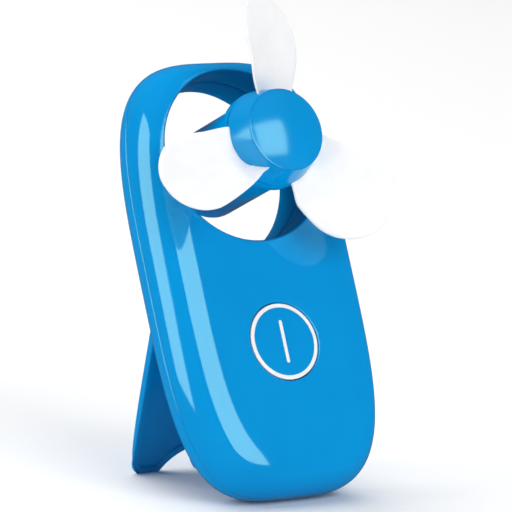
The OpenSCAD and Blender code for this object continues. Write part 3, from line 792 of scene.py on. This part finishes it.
def make_hub():
    low, high = local_box("fan_hub")
    back_r = (high.x - low.x) / 2
    front_r = radius_at("fan_hub", low.y, AXIS_Z)
    # The boss in the middle reaches 0.1 mm further back than the rim
    rim_y = high.y - 0.1
    recess, plate = low.y + 0.65, low.y + 1.7
    profile = rounded([(HUB_BORE, recess, 0), (PLUG_R + 0.05, recess, 0), (PLUG_R + 0.05, low.y, 0),
                       (front_r, low.y, 0.12), (back_r, rim_y, 0.35), (back_r - HUB_WALL, rim_y, 0.3),
                       (front_r - HUB_WALL - 0.6, plate, 0.4), (HUB_BOSS, plate, 0.4),
                       (HUB_BOSS, high.y, 0.2), (HUB_BORE, high.y, 0)])
    piece = finish_mesh("fan_hub_moulding", make_mesh("fan_hub_moulding", [lathe(profile, AXIS_Z)]))
    stand_for(piece, "fan_hub")


def make_spinner():
    low, high = local_box("spinner_cap")
    r = (high.x - low.x) / 2
    rim_y = local_box("fan_hub")[0].y
    rise = rim_y - low.y
    sphere = (r * r + rise * rise) / (2 * rise)
    dome, steps = [], 40
    full = math.asin(r / sphere)
    for k in range(steps + 1):
        a = full * k / steps
        dome.append((sphere * math.sin(a), low.y + sphere * (1 - math.cos(a))))
    # The dome turns down in a small round edge, with a fine groove against the hub
    dome[-1] = (r - 0.12, dome[-1][1] - 0.10)
    dome += [(r - 0.02, rim_y - 0.22), (r - 0.02, rim_y - 0.10), (r - 0.22, rim_y - 0.02)]
    profile = dome + [(PLUG_R, rim_y - 0.02), (PLUG_R, high.y), (0, high.y)]
    piece = finish_mesh("spinner_dome", make_mesh("spinner_dome", [lathe(profile, AXIS_Z, 160)]), 50)
    stand_for(piece, "spinner_cap")


# --- Blades -----------------------------------------------------------------

# Where the blade's axis crosses the fan's axis, and the radius where its span begins
BLADE_Y = -22.6
ROOT_R = 9.8
# Ahead of the blade's axis (True) and behind it: chord, share of it at the root, span fraction
# where it is full, how fast it swells, and where the tip starts to round
HALVES = {True: (11.8, 0.69, 0.62, 0.62, 0.6), False: (10.4, 0.67, 0.74, 0.93, 0.48)}
# The sheet is swept by SWEEP at the tip, and bowed by BOW times the square of the chord position
SWEEP = 2.4
BOW = 0.004
PITCH_ROOT = math.radians(30.6)
PITCH_TIP = math.radians(18.0)
# At the hub the sheet is flat up to FLAT_TO of the half ahead, then cups forward by CUP
ROOT_Y = -22.1
FLAT_TO = 0.15
CUP = 5.0
CUP_SPAN = 0.25
BLADE_T = 1.1
# Share of the thickness that is left at the edges
EDGE_SHARE = 0.30
# Air between the sheet's back and the pod's flange, and how deep the root goes into the hub
FLANGE_GAP = 0.12
ROOT_SINK = 0.15
ROTOR_ANGLE = math.radians(75.0)
TIP_R = 35.5


def half_chord(u, ahead):
    full, root, reach, swell, start = HALVES[ahead]
    grow = root + (1 - root) * math.sin(math.pi / 2 * min(1, u / reach)) ** swell
    tip = 1.0 if u < start else max(0.0, 1 - ((u - start) / (1 - start)) ** 2) ** 0.5
    return full * grow * tip


def blade_frame(u, v):
    """Middle-surface point of a blade, before it is turned to its place on the hub."""
    s = v * half_chord(u, v > 0) + SWEEP * u * u
    pitch = PITCH_ROOT + (PITCH_TIP - PITCH_ROOT) * u
    y = BLADE_Y - s * math.sin(pitch) - BOW * s * s
    root_y = ROOT_Y - CUP * max(0.0, (v - FLAT_TO) / (1 - FLAT_TO)) ** 2
    w = eased(min(1.0, u / CUP_SPAN))
    return Vector((ROOT_R + (TIP_R - ROOT_R) * u, root_y * (1 - w) + y * w, s * math.cos(pitch)))


def make_blade(number):
    span, chord = 56, 40
    hub_low, hub_high = local_box("fan_hub")
    hub_r = (hub_high.x - hub_low.x) / 2
    nose_r = radius_at("fan_hub", hub_low.y, AXIS_Z)
    cap_low, cap_high = local_box("pod_front_cap")
    cap_r, flange_y = (cap_high.x - cap_low.x) / 2, cap_low.y
    us = [math.sin(math.radians(89.0) * k / span) for k in range(span + 1)]
    vs = [math.sin(math.radians(90.0) * (2 * k / chord - 1)) for k in range(chord + 1)]
    grids = {}
    for face in (-1, 1):
        grid = []
        for u in us:
            row = []
            for v in vs:
                # The sheet is thinner towards its edges, which makes them round
                edge = max(0.0, 1 - abs(v) ** 14) ** 0.5
                end = max(0.0, 1 - max(0.0, (u - 0.9) / 0.1) ** 6) ** 0.5
                thick = BLADE_T / 2 * (EDGE_SHARE + (1 - EDGE_SHARE) * edge * end)
                p = blade_frame(u, v)
                # Near the hub the sheet stays in front of the pod's flange
                reach = math.hypot(p.x, p.z)
                rear = flange_y - FLANGE_GAP - thick + 0.9 * max(0.0, reach - cap_r - 0.4)
                p.y = min(p.y, rear)
                row.append(p + Vector((0, face * thick, 0)))
            grid.append(row)
        grids[face] = grid
    # The root follows the hub's side, and the first row reaches it everywhere
    for grid in grids.values():
        for k, row in enumerate(grid):
            for p in row:
                share = (p.y - hub_low.y) / (hub_high.y - hub_low.y)
                side = nose_r + (hub_r - nose_r) * min(1, max(0, share)) - ROOT_SINK
                reach = math.sqrt(max(0.0, side ** 2 - p.z ** 2))
                if p.x < reach or k == 0:
                    p.x = reach
    turn = Matrix.Rotation(-(ROTOR_ANGLE + math.radians(120 * number)), 3, "Y")
    points, cols, rows = [], chord + 1, span + 1
    for grid in grids.values():
        for row in grid:
            for p in row:
                q = turn @ p
                points.append((q.x, q.y, q.z + AXIS_Z))
    back = rows * cols
    faces = []
    for a in range(span):
        for b in range(chord):
            p = a * cols + b
            faces.append((p, p + 1, p + cols + 1, p + cols))
            faces.append((back + p, back + p + cols, back + p + cols + 1, back + p + 1))
    for a in range(span):
        for b in (0, chord):
            p = a * cols + b
            faces.append((p, p + cols, back + p + cols, back + p))
    for b in range(chord):
        for a in (0, span):
            p = a * cols + b
            faces.append((p, back + p, back + p + 1, p + 1))
    name = f"blade_{number + 1}_foam"
    piece = finish_mesh(name, make_mesh(name, [(points, faces)]), 60)
    stand_for(piece, f"blade_{number + 1}")


# --- Button -----------------------------------------------------------------

RING_W = 1.0
RING_DEPTH = 1.0
DISH = 0.12
# Retaining flange of the key, behind the front shell
FLANGE_OUT = 1.2
FLANGE_FRONT = 2.2
FLANGE_BACK = 2.8
# How far the bar stands out of the key
MARK_PROUD = 0.03


def make_button():
    face = local_box("power_button")[0].y
    inner, outer, steps = BUTTON_R - RING_W, BUTTON_R + FLANGE_OUT, 24
    crown = [(inner * k / steps, face + DISH * (1 - (k / steps) ** 2)) for k in range(steps)]
    profile = crown + rounded([(inner - 0.1, face, 0), (inner, face + 0.1, 0.08),
                               (inner, face + RING_DEPTH, 0), (BUTTON_R, face + RING_DEPTH, 0),
                               (BUTTON_R, face + FLANGE_FRONT, 0), (outer, face + FLANGE_FRONT, 0.2),
                               (outer, face + FLANGE_BACK, 0.2), (0.0, face + FLANGE_BACK, 0)])
    stand_for(finish_mesh("power_key", make_mesh("power_key", [lathe(profile, BUTTON_Z)])), "power_button")
    inner, back = inner + 0.01, face + RING_DEPTH - 0.02
    ring = rounded([(inner, face + 0.06, 0), (inner, face, 0.1), (BUTTON_R, face, 0.22),
                    (BUTTON_R, back, 0.05), (inner, back, 0)])
    stand_for(finish_mesh("white_ring", make_mesh("white_ring", [lathe(ring, BUTTON_Z)])), "button_ring")
    bar = rounded_capsule(*local_box("button_mark"), face - MARK_PROUD)
    stand_for(finish_mesh("white_bar", make_mesh("white_bar", [bar])), "button_mark")


def rounded_capsule(low, high, front):
    """Upright bar with round ends and a softened front edge."""
    half = (high.x - low.x) / 2
    centre_x = (high.x + low.x) / 2
    top, bottom = high.z - half, low.z + half
    steps = 16

    def loop(inset, y):
        r = half - inset
        turns = [math.pi * k / steps for k in range(steps + 1)]
        upper = [(centre_x + r * math.cos(a), y, top + r * math.sin(a)) for a in turns]
        lower = [(centre_x - r * math.cos(a), y, bottom - r * math.sin(a)) for a in turns]
        return upper + lower

    loops = [loop(0.12, front), loop(0.04, front + 0.03), loop(0, front + 0.1), loop(0, high.y)]
    n = len(loops[0])
    points = [p for l in loops for p in l]
    faces = [(k * n + i, k * n + (i + 1) % n, (k + 1) * n + (i + 1) % n, (k + 1) * n + i)
             for k in range(len(loops) - 1) for i in range(n)]
    faces.append(tuple(range(n)))
    faces.append(tuple((len(loops) - 1) * n + i for i in range(n)))
    return points, faces


# --- Stand ------------------------------------------------------------------

# The closed stand: its lower edge, the arch between its feet, and the raised rim round its inner face
FOOT_Z = 6.8
FOOT_CORNER = 3.5
ARCH_R = 14.7
ARCH_RISE = 6.5
RIM_W = 1.8
RIM_SLOPE = 0.15
PANEL_DEPTH = 0.5
BARREL_R = 1.65
STAND_EDGE = 0.35
HINGE = UNPLACE @ Vector(JOINTS["stand_fold"]["pos_m"])
OPEN_ANGLE = math.radians(JOINTS["stand_fold"]["range_deg"][1])
PLATE_HALF = (stand_high.x - stand_low.x) / 2
PLATE_TOP = HINGE.z - 2.2
ARCH_Z = FOOT_Z + ARCH_RISE - ARCH_R


def stand_distance(x, z):
    """Signed distance outside the closed stand's outline."""
    plate = box_distance(x, z, PLATE_HALF, FOOT_Z, PLATE_TOP + FOOT_CORNER, FOOT_CORNER)
    plate = max(plate, z - PLATE_TOP)
    arch = ARCH_R - math.hypot(x, z - ARCH_Z)
    return max(plate, arch)


def stand_loop(inset):
    """Outline of the closed stand, brought in by inset, with the arch between its feet."""
    half, low, high = PLATE_HALF - inset, FOOT_Z + inset, PLATE_TOP - inset
    corner = max(0.3, FOOT_CORNER - inset)
    arch = ARCH_R + inset
    foot_end = math.sqrt(arch ** 2 - (low - ARCH_Z) ** 2)
    spread = math.asin(foot_end / arch)
    rise, run, turn, bend, foot = 56, 46, 10, 40, 6
    straight = high - low - corner
    points = [(half, low + corner + straight * k / rise) for k in range(rise)]
    points += [(half - 2 * half * k / run, high) for k in range(run)]
    points += [(-half, high - straight * k / rise) for k in range(rise)]
    points += [(-half + corner - corner * math.cos(math.pi / 2 * k / turn),
                low + corner - corner * math.sin(math.pi / 2 * k / turn)) for k in range(turn)]
    toe = half - corner - foot_end
    points += [(-half + corner + toe * k / foot, low) for k in range(foot)]
    points += [(arch * math.sin(-spread + 2 * spread * k / bend),
                ARCH_Z + arch * math.cos(-spread + 2 * spread * k / bend)) for k in range(bend)]
    points += [(foot_end + toe * k / foot, low) for k in range(foot)]
    points += [(half - corner + corner * math.sin(math.pi / 2 * k / turn),
                low + corner - corner * math.cos(math.pi / 2 * k / turn)) for k in range(turn)]
    return points


def inside_polygon(x, z, loop):
    inside = False
    for (x0, z0), (x1, z1) in zip(loop, loop[1:] + loop[:1]):
        if (z0 > z) != (z1 > z) and x < x0 + (z - z0) / (z1 - z0) * (x1 - x0):
            inside = not inside
    return inside


def make_stand():
    plate_y = HALF - STAND_T
    loops = [stand_loop(i) for i in (0.0, 0.08, 0.2, STAND_EDGE)]
    rim_loops = [stand_loop(i) for i in (RIM_W - RIM_SLOPE, RIM_W, RIM_W + RIM_SLOPE)]
    outer = loops[0]
    grid = 1.3
    inner_points = []
    for j in range(int((PLATE_TOP - FOOT_Z) / grid) + 1):
        for i in range(int(2 * PLATE_HALF / grid) + 1):
            x, z = -PLATE_HALF + grid * i, FOOT_Z + grid * j
            d = -stand_distance(x, z)
            if d > 0.7 and abs(d - RIM_W) > 0.45:
                inner_points.append((x, z))

    def sheet(loop_set, height):
        points = [Vector(p) for loop in loop_set for p in loop] + [Vector(p) for p in inner_points]
        edges, base = [], 0
        for loop in loop_set:
            edges += [(base + i, base + (i + 1) % len(loop)) for i in range(len(loop))]
            base += len(loop)
        coords, _, faces, _, _, _ = delaunay_2d_cdt(points, edges, [], 0, 1e-5)
        kept = []
        for f in faces:
            cx = sum(coords[i][0] for i in f) / 3
            cz = sum(coords[i][1] for i in f) / 3
            if inside_polygon(cx, cz, outer):
                kept.append(tuple(f))
        return [(c[0], height(c[0], c[1]), c[1]) for c in coords], kept

    def outer_face(x, z):
        return skin_height(x, z) - rim_drop(-stand_distance(x, z), STAND_EDGE)

    def inner_face(x, z):
        depth = -stand_distance(x, z)
        share = eased(min(1.0, max(0.0, (depth - RIM_W + RIM_SLOPE) / (2 * RIM_SLOPE))))
        return plate_y + PANEL_DEPTH * share + rim_drop(depth, STAND_EDGE)

    top = sheet(loops, outer_face)
    bottom = sheet(loops + rim_loops, inner_face)
    n = len(outer)
    wall = [(x, outer_face(x, z), z) for x, z in outer] + [(x, inner_face(x, z), z) for x, z in outer]
    side = [(i, (i + 1) % n, n + (i + 1) % n, n + i) for i in range(n)]
    # The barrel round the pin, turned as a lathe profile and laid across
    end_x, chamfer = DOOR_HALF - 3.3, 0.15
    ends = [(0, end_x), (BARREL_R - chamfer, end_x), (BARREL_R, end_x - chamfer)]
    barrel = [(r, -x) for r, x in ends] + ends[::-1]
    tube_points, tube_faces = lathe(barrel, 0, 48)
    tube_points = [(y, HINGE.y + x, HINGE.z + z) for x, y, z in tube_points]
    neck = rounded_box((-end_x, plate_y + 0.02, PLATE_TOP - 0.8), (end_x, HALF - 0.15, HINGE.z), 0.2)
    parts = [top, bottom, (wall, side), (tube_points, tube_faces), neck]
    # Swing the closed shape out to the open angle
    swing = Matrix.Rotation(OPEN_ANGLE, 3, "X")
    opened = []
    for points, faces in parts:
        opened.append(([swing @ (Vector(p) - HINGE) + HINGE for p in points], faces))
    piece = finish_mesh("stand_plate", make_mesh("stand_plate", opened), 40)
    # The feet are level with the floor
    bm = bmesh.new()
    bm.from_mesh(piece.data)
    cut = bmesh.ops.bisect_plane(bm, geom=bm.verts[:] + bm.edges[:] + bm.faces[:], dist=1e-7,
                                 plane_co=(0, 0, 0), plane_no=(0, 0, -1), clear_outer=True)
    rim = [e for e in cut["geom_cut"] if isinstance(e, bmesh.types.BMEdge)]
    bmesh.ops.holes_fill(bm, edges=rim, sides=0)
    bm.to_mesh(piece.data)
    bm.free()
    stand_for(piece, "kickstand")


# --- CAD pieces that keep their shape ---------------------------------------


EDGE_ROUND = 0.18


def soften(node):
    """A copy of a CAD node with its flat faces joined and its sharp edges rounded."""
    mesh = frame["nodes"][node].data.copy()
    bm = bmesh.new()
    bm.from_mesh(mesh)
    bmesh.ops.remove_doubles(bm, verts=bm.verts, dist=1e-6)
    bmesh.ops.dissolve_limit(bm, angle_limit=math.radians(0.8), verts=bm.verts, edges=bm.edges)
    sharp = [e for e in bm.edges if len(e.link_faces) == 2 and e.calc_face_angle(0) > math.radians(40)]
    bmesh.ops.bevel(bm, geom=sharp, offset=EDGE_ROUND * MM, segments=2, profile=0.5, affect="EDGES",
                    clamp_overlap=True)
    for face in bm.faces:
        face.smooth = True
    for edge in bm.edges:
        if len(edge.link_faces) == 2 and edge.calc_face_angle(0) > math.radians(34):
            edge.smooth = False
    bm.to_mesh(mesh)
    bm.free()
    piece = bpy.data.objects.new(node + "_moulding", mesh)
    bpy.context.scene.collection.objects.link(piece)
    stand_for(piece, node)


make_front_shell()
make_rear_shell()
make_pod()
make_pod_cap()
make_hub()
make_spinner()
for blade in range(3):
    make_blade(blade)
make_button()
make_stand()
soften("battery_door")

for node, obj in frame["nodes"].items():
    obj.data.materials.clear()
    obj.data.materials.append(MATERIALS[SLOT_OF[node]])

# --- Stage, light and camera ------------------------------------------------

FLOOR_HALF = 4
corners = [(x * FLOOR_HALF, y * FLOOR_HALF, 0) for x, y in ((-1, -1), (1, -1), (1, 1), (-1, 1))]
stage_mesh = make_mesh("studio_floor", [(corners, [(0, 1, 2, 3)])])
floor = bpy.data.objects.new("studio_floor", stage_mesh)
bpy.context.scene.collection.objects.link(floor)
floor_material, _, _, floor_shader = principled("studio_floor")
floor_shader.inputs["Base Color"].default_value = (0.95, 0.95, 0.95, 1)
floor_shader.inputs["Roughness"].default_value = 0.9
floor_shader.inputs["Specular IOR Level"].default_value = 0.1
stage_mesh.materials.append(floor_material)
# The floor is lit and seen, but it isn't mirrored in the gloss
floor.visible_glossy = False
floor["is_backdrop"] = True

low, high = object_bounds()
MIDDLE = (Vector(low) + Vector(high)) / 2


def aim(obj, target, roll=0.0):
    direction = (Vector(target) - obj.location).normalized()
    turn = direction.to_track_quat("-Z", "Y").to_matrix().to_4x4()
    obj.matrix_world = Matrix.Translation(obj.location) @ turn @ Matrix.Rotation(roll, 4, "Z")


def softbox(name, azimuth, elevation, distance, width, height, power, mirrored=True):
    """A rectangular light aimed at the middle of the fan, in metres, degrees and watts.

    Azimuth 0 is in front, positive to the right. A light that is not mirrored fills the shadows
    but leaves no highlight in the gloss.
    """
    a, e = math.radians(azimuth), math.radians(elevation)
    towards = Vector((math.sin(a) * math.cos(e), -math.cos(a) * math.cos(e), math.sin(e)))
    data = bpy.data.lights.new(name, "AREA")
    data.shape = "RECTANGLE"
    data.size = width
    data.size_y = height
    data.energy = power
    lamp = bpy.data.objects.new(name, data)
    bpy.context.scene.collection.objects.link(lamp)
    lamp.location = MIDDLE + distance * towards
    aim(lamp, MIDDLE)
    lamp.visible_glossy = mirrored


softbox("overhead", 180, 76, 1.85, 3.2, 3.2, 34, mirrored=False)
softbox("key", 5, 28.5, 1.2, 0.84, 0.90, 9.1)
softbox("left", -106, 15, 1.2, 0.53, 1.02, 6.4)
softbox("back_floor", 180, 40, 2.0, 2.4, 1.2, 18, mirrored=False)

world = bpy.data.worlds.new("studio")
bpy.context.scene.world = world
world.use_nodes = True
sky = world.node_tree.nodes["Background"]
sky.inputs["Color"].default_value = (1, 1, 1, 1)
sky.inputs["Strength"].default_value = 0.09

# Angles in degrees; the camera stands in front and to the left of the fan, a little above it
CAMERA_AZIMUTH = 34.7
CAMERA_ELEVATION = 9.63
CAMERA_ROLL = 2.9
CAMERA_DISTANCE = 1.0227
CAMERA_AIM = Vector((0.00408, -0.00019, 0.0562))
camera_data = bpy.data.cameras.new("camera")
camera_data.lens = 295.1
camera_data.sensor_width = 36.0
camera = bpy.data.objects.new("camera", camera_data)
bpy.context.scene.collection.objects.link(camera)
a, e = math.radians(CAMERA_AZIMUTH), math.radians(CAMERA_ELEVATION)
look = Vector((math.sin(a) * math.cos(e), math.cos(a) * math.cos(e), -math.sin(e)))
camera.location = CAMERA_AIM - look * CAMERA_DISTANCE
aim(camera, CAMERA_AIM, math.radians(CAMERA_ROLL))
bpy.context.scene.camera = camera
bpy.context.scene.view_settings.view_transform = "Standard"
